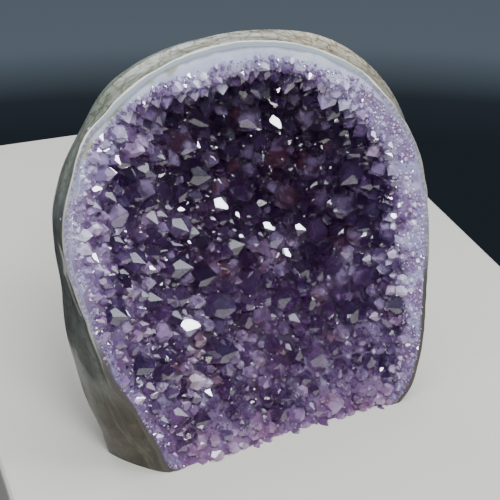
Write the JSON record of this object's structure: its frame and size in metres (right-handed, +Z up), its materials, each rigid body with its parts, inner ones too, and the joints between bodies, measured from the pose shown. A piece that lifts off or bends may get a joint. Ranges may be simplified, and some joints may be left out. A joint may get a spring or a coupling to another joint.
{
  "type": "amethyst geode",
  "caption": "Cut-base amethyst geode that stands on its own: a rounded rock rind, a pale quartz lining and an open hollow crusted with purple crystals.",
  "frame": {"origin": "centre of the bounding box's base, on the surface that the geode stands on", "axes": "+Z up, -Y out of the open crystal face, +X to the right of someone who looks at that face"},
  "size_m": [0.1086, 0.0664, 0.1173],
  "materials": {
    "rock": "polished at the sides, rough at the back",
    "pale_quartz": "polished, slightly translucent",
    "amethyst": "clear crystal with flat glossy faces"
  },
  "bodies": {
    "root": {"rock_rind": "rock", "quartz_lining": "pale_quartz", "amethyst_crust": "amethyst"}
  },
  "joints": []
}
